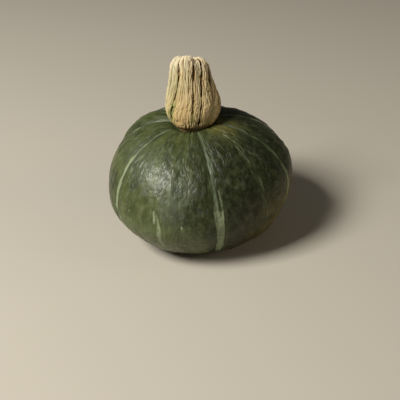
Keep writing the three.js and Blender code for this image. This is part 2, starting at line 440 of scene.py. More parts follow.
@dataclass
class Fruit:
    """The fruit: one skin of soft lobes, with stripes along its furrows. In millimetres."""

    radius: float = 74.5
    height: float = 96.0
    furrow_fade_radius: float = 36.0  # furrows die away from here towards the core line
    furrow_sharpness: float = 0.75
    furrows: tuple[Furrow, ...] = (
        Furrow(11, 1.5), Furrow(46, 0.5, 0.3), Furrow(71, 1.2), Furrow(108, 0.6), Furrow(145, 2.2, -1.2),
        Furrow(182, 1.6, -0.2), Furrow(219, 1.1, 0.8), Furrow(257, 2.4, -0.3), Furrow(304, 1.4, -0.5),
        Furrow(322, 0.4), Furrow(350, 0.6, -0.6),
    )
    foot_x: float = 0.1
    lean: float = math.radians(5.6)
    lean_full_height: float = 50.0  # the lean grows from nothing up to here
    oval: tuple[float, float] = (0.028, -33.0)  # how much wider, as a share, and towards which azimuth
    three_sided: tuple[float, float] = (0.028, -37.0)
    shoulder_start: float = 46.0
    shoulder_drop_right: float = 0.072  # as a share of the height
    shoulder_drop_front: float = 0.01
    profile: Knots = (
        (0, 0.945), (0.15, 0.955), (0.31, 0.996), (0.495, 0.973), (0.7, 0.896),
        (0.867, 0.778), (0.984, 0.604), (0.998, 0.4), (0.893, 0.218), (0.73, 0.072),
        (0.5, 0.004), (0.3, -0.014), (0.18, 0.01), (0.115, -0.004), (0, -0.004),
    )
    folds: tuple[Fold, ...] = (
        Fold(((0.2, 346.0), (0.33, 352.0)), 0.26, 0.09, 0.3, 3.5),
        Fold(((0.3, 316.0), (0.45, 325.0)), 0.37, 0.09, 0.35, 4.5),
        Fold(((0.2, 128.0), (0.5, 126.0)), 0.35, 0.14, 0.4, 4.5),
        Fold(((0.2, 236.0), (0.5, 240.0)), 0.42, 0.12, 0.4, 4.0),
    )
    rings: int = 192
    columns_per_lobe: int = 47
    crowding: float = 0.4
    wander: Layer = Layer(2, 1.1, 47, 77)  # degrees that the furrows stray
    wander_fade: Fade = (0, 0.15)
    underside: Fade = (0.7, 0.05)
    # broad dents, a hammered skin and its fine grain
    dents: tuple[Layer, ...] = (Layer(3, 0.5, 24, 34), Layer(4, 0.36, 4.4, 6.6), Layer(5, 0.17, 2.6, 4.8))
    dents_fade: Fade = (14, 24)
    furrow_line: float = 0.12  # depth of the fine line in a furrow, as a share of the furrow's
    furrow_line_width: float = 1.5
    furrow_wrinkles: Layer = Layer(6, 0.18, 5.5, 3.0)
    furrow_wrinkles_width: float = 8.0
    ripple_length: float = 3.6
    ripple_sway: Layer = Layer(10, 2.4, 12, 9)
    ripple_patch: Patch = Patch(0.09, -1, 9, 0.57, 0.07)
    stem_puckers: Puckers = Puckers(7, 0.75, 9, 26)
    stem_puckers_fade: Fade = (40, -22)
    collar: Ring = Ring(0.9, 17.5, 3.5)  # under the stem's rim
    scar_puckers: Puckers = Puckers(8, 0.5, 5, 9)
    scar_puckers_place: Ring = Ring(1, 15, 9)
    scar_cracks: Layer = Layer(9, 0.3, 1.6, 1.6)
    scar_cracks_fade: Fade = (8, -2)
    scar_height: float = 0.6  # of the middle of the blossom scar
    scar_rings: tuple[Ring, ...] = (Ring(-0.55, 8.2, 1.1), Ring(-0.8, 0, 1.2))
    blushes: tuple[Patch, ...] = (
        Patch(0.9, 76, 34, 0.42, 0.2, onward=True),  # low on the right, partly painted warm reflected light
        Patch(0.5, 300, 30, 0.54, 0.12, onward=True),  # low on the left
        Patch(0.6, 62, 26, 0.12, 0.06),  # by the stem
        Patch(0.85, 0, math.inf, 0.68, 0.14, onward=True),  # underneath
    )
    # painted shade: these patches darken the rind where the key's light falls off, on the right, at the back
    # and round the front stripe
    shades: tuple[Patch, ...] = (
        Patch(1.1, 62, 46, 0.13, 0.15, onward=True),  # the lobes on the right
        Patch(0.6, 200, 40, 0.1, 0.2, onward=True),  # those at the back
        Patch(1.2, 114, 34, 0.17, 0.09),  # painted shadow of the stem, behind it on the right
        Patch(0.6, 25, 11, 0.25, 0.1, onward=True),  # right of the broad stripe
        Patch(0.65, 4, 13, 0.36, 0.12),  # left of it
        Patch(0.7, 20, 18, 0.19, 0.09),  # above it
    )
    # painted sheen: pale patches that spread and break up the highlight on the front left
    blooms: tuple[Patch, ...] = (
        Patch(0.45, 308, 34, 0.27, 0.08),  # high on the left
        Patch(0.5, 328, 11, 0.31, 0.06),
        Patch(0.9, 345, 8, 0.41, 0.07),  # left of the front
        Patch(0.8, 356, 4, 0.36, 0.035),
    )
    stripe_reach: float = 6.0  # the finish reads nothing of a stripe further away
    stripe_end: float = -2.0  # half width beyond a stripe's ends, which closes it
    stripe_tone: float = 0.7  # beyond the reach of all stripes
    furrow_mark_width: float = 5.5
    furrow_mark_depth: float = 1.4  # a furrow this deep has the whole mark, shallower ones less
    furrow_mark_least: float = 0.35
    stripe_wavers: tuple[Layer, ...] = (Layer(12, 1.0, 30, 7), Layer(13, 0.6, 20, 2.6))
    stripes: tuple[Stripe, ...] = (
        # the broad one in front, and its short second prong
        Stripe(((0.08, 14.0), (0.22, 12.6), (0.28, 13.0), (0.33, 11.6), (0.42, 11.4), (0.46, 10.8),
                (0.5, 11.6), (0.57, 12.6), (0.65, 13.4)),
               ((0.1, 0.4), (0.2, 0.0), (0.38, 0.0), (0.42, 0.2), (0.48, 0.75), (0.58, 1.0)),
               ((0.07, 0.2), (0.14, 0.5), (0.22, 0.7), (0.28, 1.5), (0.32, 1.0), (0.37, 1.15), (0.42, 1.8),
                (0.46, 1.9), (0.5, 2.4), (0.57, 2.5), (0.65, 2.3), (0.9, 0.6)), 0.2),
        Stripe(((0.37, 14.3), (0.47, 14.6), (0.5, 14.2), (0.64, 14.3)), ((0.4, 0.9),),
               ((0.36, -1.0), (0.38, 0.4), (0.46, 0.6), (0.475, 0.6), (0.492, 1.3), (0.66, 1.6),
                (0.72, -1.0)), 0.2),
        # the one on the left
        Stripe(((0.06, 301.0), (0.2, 305.2), (0.3, 304.2), (0.5, 304.0), (0.56, 308.0)),
               ((0.2, 0.45), (0.3, 0.9)),
               ((0.06, 0.2), (0.14, 0.8), (0.26, 1.4), (0.5, 1.9), (0.6, 1.0), (0.68, -0.5)), 0.3),
        # the short forked one left of the front
        Stripe(((0.45, 337.2), (0.47, 337.8), (0.51, 338.2), (0.57, 337.2), (0.66, 337.5)), ((0.5, 1.0),),
               ((0.43, -1.0), (0.455, 0.5), (0.48, 0.7), (0.51, 1.4), (0.54, 1.3), (0.57, 0.9), (0.66, 0.9),
                (0.72, -0.6)), 0.2),
        Stripe(((0.42, 335.4), (0.5, 335.9)), ((0.45, 1.0),),
               ((0.425, -1.0), (0.44, 0.8), (0.48, 0.9), (0.505, -1.0)), 0.2),
        # two short nicks
        Stripe(((0.5, 350.7),), ((0.5, 0.9),),
               ((0.492, -1.0), (0.499, 0.8), (0.506, 0.8), (0.513, -1.0)), 0.1),
        Stripe(((0.45, 318.6),), ((0.5, 0.9),),
               ((0.453, -0.8), (0.459, 0.6), (0.465, 0.6), (0.471, -0.8)), 0.1),
        # the thin ones on the right
        Stripe(((0.24, 45.2), (0.5, 45.9), (0.58, 48.0), (0.67, 53.0)),
               ((0.3, 0.15), (0.4, 0.0), (0.5, 0.3), (0.57, 0.1)),
               ((0.2, -0.8), (0.23, 0.4), (0.3, 0.6), (0.35, -0.3), (0.385, 0.2), (0.48, 0.6), (0.56, 0.5),
                (0.7, -0.2)), 0.5),
        Stripe(((0.14, 72.8), (0.5, 73.2), (0.7, 70.0)), ((0.3, 0.0), (0.4, 0.2), (0.5, 0.9)),
               ((0.09, 0.3), (0.16, 0.9), (0.27, 0.5), (0.36, 0.7), (0.42, 1.0), (0.5, 1.6), (0.62, 1.0),
                (0.75, -0.4)), 0.5),
        # those round the back
        Stripe(((0.5, 108.4),), ((0.2, 0.5), (0.5, 0.9)),
               ((0.1, 0.3), (0.2, 0.7), (0.38, 0.8), (0.5, 1.6), (0.66, 1.8), (0.8, -0.3)), 0.4),
        Stripe(((0.5, 145.0),), ((0.3, 0.5), (0.5, 0.7)),
               ((0.24, -0.5), (0.3, 0.5), (0.45, 0.8), (0.62, 1.3), (0.74, -0.4)), 0.4),
        Stripe(((0.1, 184.0), (0.4, 181.6), (0.6, 183.4)), ((0.2, 0.6), (0.45, 0.95)),
               ((0.07, 0.2), (0.15, 0.6), (0.32, 1.1), (0.5, 2.0), (0.66, 2.4), (0.85, 0.4)), 0.3),
        Stripe(((0.5, 186.5),), ((0.5, 0.9),),
               ((0.44, -0.8), (0.47, 0.6), (0.56, 0.7), (0.6, -0.8)), 0.3),
        Stripe(((0.5, 219.0),), ((0.3, 0.5), (0.55, 0.8)),
               ((0.12, 0.2), (0.2, 0.6), (0.4, 0.7), (0.46, -0.3), (0.5, 0.8), (0.68, 1.0),
                (0.78, -0.4)), 0.4),
        Stripe(((0.12, 255.0), (0.23, 266.0), (0.35, 258.0), (0.6, 256.0)),
               ((0.1, 0.5), (0.3, 0.7), (0.5, 0.8)),
               ((0.08, 0.3), (0.14, 0.8), (0.26, 0.9), (0.4, 0.8), (0.6, 1.5), (0.76, -0.3)), 0.35),
    )

    def place(self, radius: np.ndarray, height: np.ndarray, normal: np.ndarray, azimuth: np.ndarray,
              depth: np.ndarray) -> np.ndarray:
        """Puts points of the half section round the fruit.

        Args:
            radius: Radius on a lobe's crest.
            height: Height on a lobe's crest.
            normal: Outward normal there, last axis 2.
            azimuth: Azimuth in degrees.
            depth: How far the furrow has sunk there.

        Returns:
            Points in space, last axis 3.
        """
        turned = np.radians(azimuth)
        share = radius / self.radius
        sunk = depth * smooth(radius / self.furrow_fade_radius)
        oval = self.oval[0] * np.cos(2 * (turned - math.radians(self.oval[1])))
        three_sided = self.three_sided[0] * np.cos(3 * (turned - math.radians(self.three_sided[1])))
        out = (radius - sunk * normal[..., 0]) * (1 + share * (oval + three_sided))
        side = self.shoulder_drop_right * np.sin(turned) + self.shoulder_drop_front * np.cos(turned)
        shoulder = ramp(height, self.shoulder_start, self.height - self.shoulder_start)
        up = (height - sunk * normal[..., 1]) * (1 - share**2 * shoulder * side)
        x = out * np.sin(turned)
        grown = np.clip(up / self.lean_full_height, 0, 1)
        lean = self.lean * smooth(grown)
        # the drift at a height is the lean added up over all the heights below it
        drift = self.lean * self.lean_full_height * (grown**3 - grown**4 / 2)
        drift = drift + self.lean * np.maximum(up - self.lean_full_height, 0)
        across = self.foot_x + x * np.cos(lean) - drift
        return np.stack([across, -out * np.cos(turned), up + x * np.sin(lean)], axis=-1)

    def relief(self, grid: Grid) -> np.ndarray:
        """Height of the rind's fine unevenness above the plain skin."""
        below = ramp(grid.along, *self.underside)
        return self.side_relief(grid) + self.top_relief(grid) * (1 - below) + self.scar_relief(grid) * below

    def side_relief(self, grid: Grid) -> np.ndarray:
        """Dents and folds of the lobes, wrinkles beside the furrows, and ripples on one lobe in front."""
        depths = np.array([furrow.depth for furrow in self.furrows])
        rise = sum(layer.on(grid) for layer in self.dents)
        rise -= self.furrow_line * depths[grid.nearest] * bell(grid.off_valley, self.furrow_line_width)
        rise += self.furrow_wrinkles.on(grid) * bell(grid.off_valley, self.furrow_wrinkles_width)
        rise *= ramp(grid.radius, *self.dents_fade)
        rise -= sum(fold.on(grid) for fold in self.folds)
        ripples = np.sin(TURN * grid.grain[..., 2] / self.ripple_length + self.ripple_sway.on(grid))
        return rise + ripples * self.ripple_patch.on(grid)

    def top_relief(self, grid: Grid) -> np.ndarray:
        """Radial puckers where the rind gathers to the stem, and a low collar against it."""
        gathered = self.stem_puckers.on(grid) * ramp(grid.radius, *self.stem_puckers_fade)
        return gathered + self.collar.on(grid)

    def scar_relief(self, grid: Grid) -> np.ndarray:
        """A ring of fine creases round a small cracked blossom scar."""
        creases = self.scar_puckers.on(grid) * self.scar_puckers_place.on(grid)
        cracks = np.abs(self.scar_cracks.on(grid)) * ramp(grid.radius, *self.scar_cracks_fade)
        return creases - cracks + sum(ring.on(grid) for ring in self.scar_rings)

    def stripe_marks(self, grid: Grid) -> tuple[np.ndarray, np.ndarray]:
        """Stripes as marks.

        Returns:
            Millimetres inside the nearest stripe, negative outside, and how pale that stripe is.
        """
        waver = sum(layer.on(grid) for layer in self.stripe_wavers)
        margin = np.full(grid.azimuth.shape, -self.stripe_reach)
        tone = np.full(grid.azimuth.shape, self.stripe_tone)
        for stripe in self.stripes:
            half = knotted(grid.along, stripe.half_widths, self.stripe_end) * (1 + stripe.ragged * waver)
            inside = half - np.abs(grid.off_line(stripe.path))
            tone = np.where(inside > margin, knotted(grid.along, stripe.tones), tone)
            margin = np.maximum(margin, inside)
        return margin, tone

    def marks(self, grid: Grid) -> dict[Mark, np.ndarray]:
        """Values that the rind's finish reads."""
        margin, tone = self.stripe_marks(grid)
        depths = np.array([furrow.depth for furrow in self.furrows])
        strength = np.clip(depths / self.furrow_mark_depth, self.furrow_mark_least, 1)
        blushes = np.maximum.reduce([patch.on(grid) for patch in self.blushes])
        return {
            Mark.GRAIN: grid.grain,
            Mark.STRIPE: margin,
            Mark.TONE: tone,
            Mark.FURROW: bell(grid.off_valley, self.furrow_mark_width) * strength[grid.nearest],
            Mark.BLUSH: np.clip(blushes, 0, 1),
            Mark.SHADE: np.clip(sum(patch.on(grid) for patch in self.shades), 0, 1),
            Mark.BLOOM: sum(patch.on(grid) for patch in self.blooms),
            Mark.ALONG: grid.along,
        }

    def build(self) -> bpy.types.Object:
        """Makes the fruit's mesh with the values that its finish reads."""
        profile = np.array(self.profile) * (self.radius, self.height)
        valleys = [furrow.azimuth for furrow in self.furrows]
        grid = Grid.turn(profile, valleys, self.rings, self.columns_per_lobe, self.crowding)
        wander = self.wander.on(grid) * ramp(grid.along, *self.wander_fade)
        depths, swells = np.array([(furrow.depth, furrow.swell) for furrow in self.furrows]).T
        depth = depths[grid.nearest] * valley_shape(grid.share, self.furrow_sharpness)
        depth -= swells[grid.before] * np.sin(math.pi * grid.share)
        plain = self.place(grid.radius, grid.height, grid.normal, grid.azimuth + wander, depth)
        rows = plain + grid_normals(plain) * self.relief(grid)[..., None]
        rows[..., 2] = np.maximum(rows[..., 2], 0)
        top, bottom = (self.place(*grid.curve[end], grid.slope[end], 0.0, 0.0) for end in (0, -1))
        bottom[2] = self.scar_height
        made = closed_skin("rind", rows, top, bottom)
        note(made, self.marks(grid))
        return made


# ---------------------------------------------------------------- stem


@dataclass(frozen=True)
class Split:
    """A stretch where a fissure has split right open. In millimetres."""

    low: float
    high: float
    depth: float


@dataclass(frozen=True)
class Fissure:
    """A dried fissure, the ridge after it, and its open splits. In millimetres."""

    azimuth: float  # at mid height
    depth: float  # at mid height
    tip: float  # how far the ridge after it stands above the crown
    splits: tuple[Split, ...] = ()
    bend: Knots = ((0, 0), (50, 0))  # height, and degrees that it strays from the common twist
    crown: float = 1.0  # share of its depth that it keeps across the crown


@dataclass
class Stem:
    """The corky stem: ridges, fissures and small warts, cut aslant on top. In millimetres."""

    base: tuple[float, float, float] = (-5.5, 0.0, 95.3)  # foot of its axis
    left_tilt: float = math.radians(4.2)
    back_tilt: float = math.radians(8)
    top: float = 52.0
    top_radius: float = 15.0  # fissures die away from here towards the core line
    back_slope: float = math.tan(math.radians(12))
    right_slope: float = math.tan(math.radians(5))
    cut_start: float = 20.0
    sharpness: float = 0.38
    twist: float = 0.62  # degrees that the ridges turn in each millimetre of height
    twist_level: float = 30.0
    crown_notch: float = 0.4  # share of a fissure's depth that lowers the crown
    side_share: float = 0.6  # least share of it that goes inwards
    valley: tuple[float, float, float] = (17, 13, 1.6)  # azimuth and half width in degrees, and depth
    profile: Knots = (
        (0, 50.2), (6, 52), (10.8, 51), (14.3, 47.6), (15.9, 42), (17.4, 35), (19.5, 26),
        (21.7, 17), (21.7, 10), (18.9, 3), (14.6, -2.5), (9, -8), (0, -9),
    )
    fissures: tuple[Fissure, ...] = (
        Fissure(5, 2.6, -1.6, (Split(33, 47, 0.8), Split(10, 30, 0.5)),
                ((4, 7), (14, 6), (27, 3), (36, 0), (50, -1)), 0.75),
        Fissure(28, 2.9, -0.5, (Split(24, 43, 0.9), Split(12, 24, 0.9), Split(1, 8, 2.8), Split(45, 52, 2.4)),
                ((20, 0), (36, 0), (44, 4), (50, 5))),
        Fissure(56, 2.0, -0.8, (Split(30, 46, 0.8),), ((24, 3), (38, 4), (43, 8), (50, 8))),
        Fissure(86, 2.6, 0.3, (Split(12, 34, 0.9),)),
        Fissure(118, 2.0, -0.5, (Split(26, 50, 1.1),)),
        Fissure(152, 3.0, 0.9, (Split(6, 22, 1.4), Split(34, 50, 1.2))),
        Fissure(187, 2.2, 0.2, (Split(18, 40, 1.1),)),
        Fissure(221, 2.8, 1.0, (Split(28, 51, 1.5),)),
        Fissure(254, 2.0, -0.6, (Split(4, 18, 1.0),)),
        Fissure(289, 2.4, -0.3, (Split(24, 46, 0.9),)),
        Fissure(322, 2.6, 2.6, (Split(30, 50, 0.5), Split(18, 31, 0.7), Split(5, 19, 1.7)),
                ((5, -4), (13, -5), (18, -2), (28, 0), (34, 1), (43, -4), (50, -8)), 0.25),
    )
    rings: int = 196
    columns_per_ridge: int = 44
    crowding: float = 0.45
    crease_seed: int = 21
    creases_per_ridge: int = 6
    crease_depth: float = 0.7
    crease_width: float = 0.024  # as a share of the ridge
    crease_fade: Fade = (5, 6)
    split_width: float = 0.4
    split_run_out: float = 4.0
    split_fade: Fade = (0, 6)
    split_edge: Layer = Layer(32, 0.6, 30, 2.6)
    split_floor: Layer = Layer(32, 0.5, 4, 4)
    sway: Layer = Layer(31, 1.4, 19, 15)  # degrees
    sway_fade: Fade = (52, -10)
    opening_fade: Fade = (-4, 12)  # the fissures open from the foot
    opening: tuple[float, float] = (0.55, 0.6)  # share of their depth, and how much more up to the crown
    push: Layer = Layer(33, 0.9, 7, 12)  # in warts
    warts: Warts = Warts(34, 54, 12.0, 0.55, 0.42)
    crumbs: Warts = Warts(35, 92, 5.0, 0.2, 0.18)
    wrinkles: Layer = Layer(36, 0.35, 5, 8)
    lowered: float = 0.4  # how far the fine skin lies below the ridges' plain one
    crown_fade: Fade = (40, 6)
    crown_facing: Fade = (0.5, 0.4)  # by how far the skin faces upwards
    kept_fade: Fade = (41, 6)  # a fissure has changed to its share for the crown beyond it
    crown_calm: tuple[float, float] = (0.4, 0.7)  # how much less rough and less creased the crown is
    pith_fade: Fade = (9, -3)
    pith_depth: float = 1.0
    pith_ray_count: int = 7  # hollows between them in half a turn
    pith_ray_depth: float = 0.8
    pith_ray_fade: Fade = (0, 4)
    pith_rays: Layer = Layer(37, 1.5, 8, 8)
    pith_hole: Ring = Ring(1.6, 0, 1.6)
    # painted shade: the left side is drawn greyer and darker
    weathered_side: tuple[float, float] = (296, 30)  # azimuth and spread, in degrees
    # browner low on the front: partly the cork's own colour, partly painted shade where it faces the key
    brown_side: tuple[float, float] = (342, 42)
    brown_fade: Fade = (36, -26)
    # painted shade where the stem meets the rind fades out over this
    foot_fade: Fade = (2.5, -3.5)
    green_side: tuple[float, float] = (321, 8)
    green_band: tuple[float, float] = (14, 9)  # middle and reach in height
    green_climb: float = 0.5  # how green it stays above the band
    green_climb_fade: Fade = (46, -20)
    green_furrow: float = 0.4
    green_furrow_width: float = 2.2
    green_furrow_fade: Fade = (30, -25)
    # how much painted shade a hollow gets: for each millimetre of a fissure, split or crease, then between
    # warts
    fissure_dark: float = 0.28 / 3
    split_dark: float = 0.6
    crease_dark: float = 0.7
    gap_dark: float = 0.26
    seam_dark: float = 0.1
    fine_calm: float = 0.3  # how much less of the fine ones the foot shows
    fine_calm_fade: Fade = (30, -20)

    def turned(self, grid: Grid) -> np.ndarray:
        """Azimuth of every point in radians, with the twist, the fissures' bends and a slight sway."""
        bends = np.stack([knotted(grid.height[:, 0], fissure.bend) for fissure in self.fissures])
        ring = np.arange(len(grid.height))[:, None]
        before, after = bends[grid.before, ring], bends[(grid.before + 1) % len(bends), ring]
        sway = self.sway.on(grid) * ramp(grid.height, *self.sway_fade)
        sway += before + grid.share * (after - before)
        return np.radians(grid.azimuth + sway + self.twist * (grid.height - self.twist_level))

    def ridges(self, grid: Grid) -> tuple[np.ndarray, np.ndarray, np.ndarray]:
        """Shapes the ridges.

        Returns:
            1 at the bottom of a fissure and 0 on a ridge, how far each place has sunk, and how far a
            ridge's tip stands above the crown.
        """
        depths, tips, crowns = np.array([(part.depth, part.tip, part.crown) for part in self.fissures]).T
        fissure = valley_shape(grid.share, self.sharpness)
        rise = ramp(grid.height, 0, self.top)
        inner = np.minimum(grid.radius / self.top_radius, 1)
        opening = ramp(grid.height, *self.opening_fade) * (self.opening[0] + self.opening[1] * rise)
        centre, half_width, valley_depth = self.valley
        aside = np.abs(turn_between(grid.azimuth, centre))
        valley = valley_depth * rise * (1 - ramp(aside, 0, half_width))
        kept = 1 - (1 - crowns[grid.nearest]) * ramp(grid.height, *self.kept_fade)
        sunk = (depths[grid.nearest] * opening * kept * fissure + valley) * inner
        return fissure, sunk, tips[grid.before] * (1 - fissure) * rise**3 * inner

    def creases(self, grid: Grid) -> np.ndarray:
        """Depth of the shallow creases that run down each ridge, coming and going."""
        draw = np.random.default_rng(self.crease_seed)
        depth = np.zeros(grid.share.shape)
        even = np.linspace(0.15, 0.85, self.creases_per_ridge)
        for ridge in range(len(self.fissures)):
            for centre in even + draw.uniform(-0.05, 0.05, len(even)):
                strength, sway, phase = draw.uniform((0.35, 0.01, 0.0), (1.0, 0.04, TURN))
                middle, reach = draw.uniform((8, 14), (44, 34))
                line = centre + sway * np.sin(grid.height / 7 + phase)
                crease = bell(grid.share - line, self.crease_width) * bell(grid.height - middle, reach)
                depth += (grid.before == ridge) * strength * self.crease_depth * crease
        return depth * ramp(grid.radius, *self.crease_fade)

    def open_splits(self, grid: Grid) -> np.ndarray:
        """Depth of the open splits, each a narrow ragged line along its fissure."""
        split = np.zeros(grid.share.shape)
        for number, fissure in enumerate(self.fissures):
            for part in fissure.splits:
                stretch = ramp(grid.height, part.low, self.split_run_out)
                stretch = stretch * ramp(grid.height, part.high, -self.split_run_out)
                split = np.maximum(split, (grid.nearest == number) * part.depth * stretch)
        width = self.split_width * (1 + self.split_edge.on(grid))
        uneven = 1 + self.split_floor.on(grid)
        return split * uneven * bell(grid.off_valley, width) * ramp(grid.radius, *self.split_fade)

    def pith(self, grid: Grid, turned: np.ndarray) -> np.ndarray:
        """How far the pith in the middle of the crown has sunk, with its rays."""
        rays = np.abs(np.sin(self.pith_ray_count * turned + self.pith_rays.on(grid)))
        dried = self.pith_depth + self.pith_ray_depth * rays * ramp(grid.radius, *self.pith_ray_fade)
        return ramp(grid.radius, *self.pith_fade) * dried + self.pith_hole.on(grid)

    def build(self) -> bpy.types.Object:
        """Makes the stem's mesh with the values that its finish reads."""
        valleys = [fissure.azimuth for fissure in self.fissures]
        grid = Grid.turn(self.profile, valleys, self.rings, self.columns_per_ridge, self.crowding)
        height, turned = grid.height, self.turned(grid)
        fissure, sunk, tip = self.ridges(grid)
        split, creases = self.open_splits(grid), self.creases(grid)
        push = self.push.on(grid)
        warts, gaps = self.warts.on(grid, push)
        crumbs, seams = self.crumbs.on(grid, push)
        on_crown = ramp(grid.normal[..., 1], *self.crown_facing) * ramp(height, *self.crown_fade)
        rough = (warts + crumbs + self.wrinkles.on(grid)) * (1 - self.crown_calm[0] * on_crown)
        relief = rough - creases * (1 - self.crown_calm[1] * on_crown) - split - self.lowered

        out = grid.radius - sunk * np.maximum(grid.normal[..., 0], self.side_share)
        x, y = out * np.sin(turned), -out * np.cos(turned)
        slant = ramp(height, self.cut_start, self.top - self.cut_start)
        cut = -(self.back_slope * y + self.right_slope * x) * slant
        z = height - sunk * np.maximum(grid.normal[..., 1], 0) * self.crown_notch + tip + cut
        plain = np.stack([x, y, z], axis=-1)
        rows = plain + grid_normals(plain) * relief[..., None]
        rows[..., 2] -= self.pith(grid, turned) * on_crown
        top = np.array([0, 0, rows[0, :, 2].mean() - 0.2])
        bottom = np.array([0, 0, grid.curve[-1, 1]])
        made = closed_skin("corky_stem", *(self.lean_over(part) for part in (rows, top, bottom)))

        # painted shade in the hollows: darker the deeper a fissure, split, crease or gap
        fine = self.crease_dark * creases + self.gap_dark * gaps + self.seam_dark * seams
        fine *= 1 - self.fine_calm * ramp(height, *self.fine_calm_fade)
        note(made, self.marks(grid, self.fissure_dark * sunk * fissure + self.split_dark * split + fine))
        return made

    def marks(self, grid: Grid, crevice: np.ndarray) -> dict[Mark, np.ndarray]:
        """Values that the cork's finish reads, given how much painted shade each place between the ridges
        gets.
        """
        return {
            Mark.GRAIN: grid.grain,
            Mark.CREVICE: np.clip(crevice, 0, 1.4),
            Mark.GREEN: self.greenness(grid),
            Mark.ALONG: np.clip(grid.height / self.top, 0, 1),
            Mark.FOOT: ramp(grid.height, *self.foot_fade),
            # painted shade on the left side
            Mark.SHADE: facing(grid.azimuth, *self.weathered_side),
            # browner low on the front, partly painted shade
            Mark.BLUSH: facing(grid.azimuth, *self.brown_side) * ramp(grid.height, *self.brown_fade),
        }

    def greenness(self, grid: Grid) -> np.ndarray:
        """Where green still shows: beside the left fissure, and low in the others."""
        middle, reach = self.green_band
        climb = self.green_climb * ramp(grid.height, *self.green_climb_fade)
        left = facing(grid.azimuth, *self.green_side) * np.maximum(bell(grid.height - middle, reach), climb)
        others = self.green_furrow * bell(grid.off_valley, self.green_furrow_width)
        return np.clip(np.maximum(left, others * ramp(grid.height, *self.green_furrow_fade)), 0, 1)

    def lean_over(self, points: np.ndarray) -> np.ndarray:
        """Points above the base, leaned over and put on the fruit."""
        x, y, z = np.moveaxis(np.asarray(points, float), -1, 0)
        cos_left, sin_left = math.cos(self.left_tilt), math.sin(self.left_tilt)
        cos_back, sin_back = math.cos(self.back_tilt), math.sin(self.back_tilt)
        x, z = x * cos_left - z * sin_left, x * sin_left + z * cos_left
        y, z = y * cos_back + z * sin_back, z * cos_back - y * sin_back
        return np.stack([x, y, z], axis=-1) + np.array(self.base)


# ---------------------------------------------------------------- finishes


class Board:
    """Shorthand for laying out one node tree."""

    def __init__(self, tree: bpy.types.NodeTree) -> None:
        """Empties the tree.

        Args:
            tree: The node tree to fill.
        """
        self.tree = tree
        self.marks: dict[Mark, Socket] = {}
        tree.nodes.clear()

    @staticmethod
    def dressing(piece: bpy.types.Object, name: str) -> "Board":
        """Gives a piece a new material, and returns the board for its nodes."""
        material = bpy.data.materials.new(name)
        material.use_nodes = True
        piece.data.materials.append(material)
        return Board(material.node_tree)

    def add(self, kind: str, sockets: dict | None = None, **settings: object) -> bpy.types.Node:
        """Adds a node.

        Args:
            kind: Its type, without the leading ShaderNode.
            sockets: Input name or number to a socket, which is linked, or a plain value.
            settings: Properties of the node.

        Returns:
            The new node.
        """
        node = self.tree.nodes.new(kind if kind.startswith("Node") else "ShaderNode" + kind)
        for name, value in settings.items():
            setattr(node, name, value)
        for name, value in (sockets or {}).items():
            self.feed(node.inputs[name], value)
        return node

    def feed(self, socket: Socket, value: Feed) -> None:
        """Links a socket to another, or sets its plain value."""
        if isinstance(value, Socket):
            self.tree.links.new(value, socket)
        elif isinstance(value, tuple) and len(value) == 3 and socket.type == "RGBA":
            socket.default_value = (*value, 1)
        else:
            socket.default_value = value

    def math(self, operation: str, first: Feed, second: Feed = 0.0) -> Socket:
        """Result of a Math node with two inputs."""
        return self.add("Math", {0: first, 1: second}, operation=operation).outputs[0]

    def times(self, first: Feed, second: Feed) -> Socket:
        """Product of two values."""
        return self.math("MULTIPLY", first, second)

    def span(self, value: Feed, low: float, high: float, to_low: float = 0.0, to_high: float = 1.0) -> Socket:
        """Soft change from to_low to to_high while value goes from low to high."""
        sockets = {"Value": value, "From Min": low, "From Max": high, "To Min": to_low, "To Max": to_high}
        return self.add("MapRange", sockets, interpolation_type="SMOOTHSTEP").outputs["Result"]

    def blend(self, factor: Feed, first: Feed, second: Feed) -> Socket:
        """Colour between two colours."""
        return self.add("Mix", {0: factor, 6: first, 7: second}, data_type="RGBA").outputs[2]

    def coats(self, colour: Socket, coats: Sequence[Coat]) -> Socket:
        """Lays paints over a colour in turn.

        Args:
            colour: The colour underneath.
            coats: For each coat its paint, the mask where it lies, and how thick it is, 0 to 1.

        Returns:
            The colour on top.
        """
        for paint, mask, amount in coats:
            colour = self.blend(self.times(mask, amount), colour, paint)
        return colour

    def mark(self, mark: Mark) -> Socket:
        """A value, or for the grain a vector, that the mesh carries."""
        if mark not in self.marks:
            node = self.add("Attribute", attribute_name=mark.value)
            self.marks[mark] = node.outputs["Vector" if mark is Mark.GRAIN else "Fac"]
        return self.marks[mark]

    def noise(self, scale: float, detail: float = 2.0) -> Socket:
        """Value of a noise texture over the grain, about 0.3 to 0.7."""
        sockets = {"Vector": self.mark(Mark.GRAIN), "Scale": scale, "Detail": detail}
        return self.add("TexNoise", sockets).outputs[0]

    def bump(self, height: Socket, strength: float, depth: float) -> Socket:
        """Normal of a skin with a height over it, its depth in millimetres."""
        return self.add("Bump", {"Strength": strength, "Distance": depth * MM, "Height": height}).outputs[0]

    def put_out(self, shader: str, sockets: dict, output: str = "OutputMaterial") -> None:
        """Adds the shader, and the output that it feeds."""
        self.add(output, {"Surface": self.add(shader, sockets).outputs[0]})


def new_group(name: str, inputs: dict[str, float | None], result: str) -> tuple:
    """Starts a shader node group.

    Args:
        name: Name of the group.
        inputs: Input name to its plain value, or to None for a vector.
        result: Name of its output, a value.

    Returns:
        The group's tree, its board, the sockets of its inputs by name, and the socket of its output.
    """
    tree = bpy.data.node_groups.new(name, "ShaderNodeTree")
    for label, value in inputs.items():
        kind = "NodeSocketVector" if value is None else "NodeSocketFloat"
        socket = tree.interface.new_socket(label, in_out="INPUT", socket_type=kind)
        if value is not None:
            socket.default_value = value
    tree.interface.new_socket(result, in_out="OUTPUT", socket_type="NodeSocketFloat")
    board = Board(tree)
    return tree, board, board.add("NodeGroupInput").outputs, board.add("NodeGroupOutput").inputs[result]


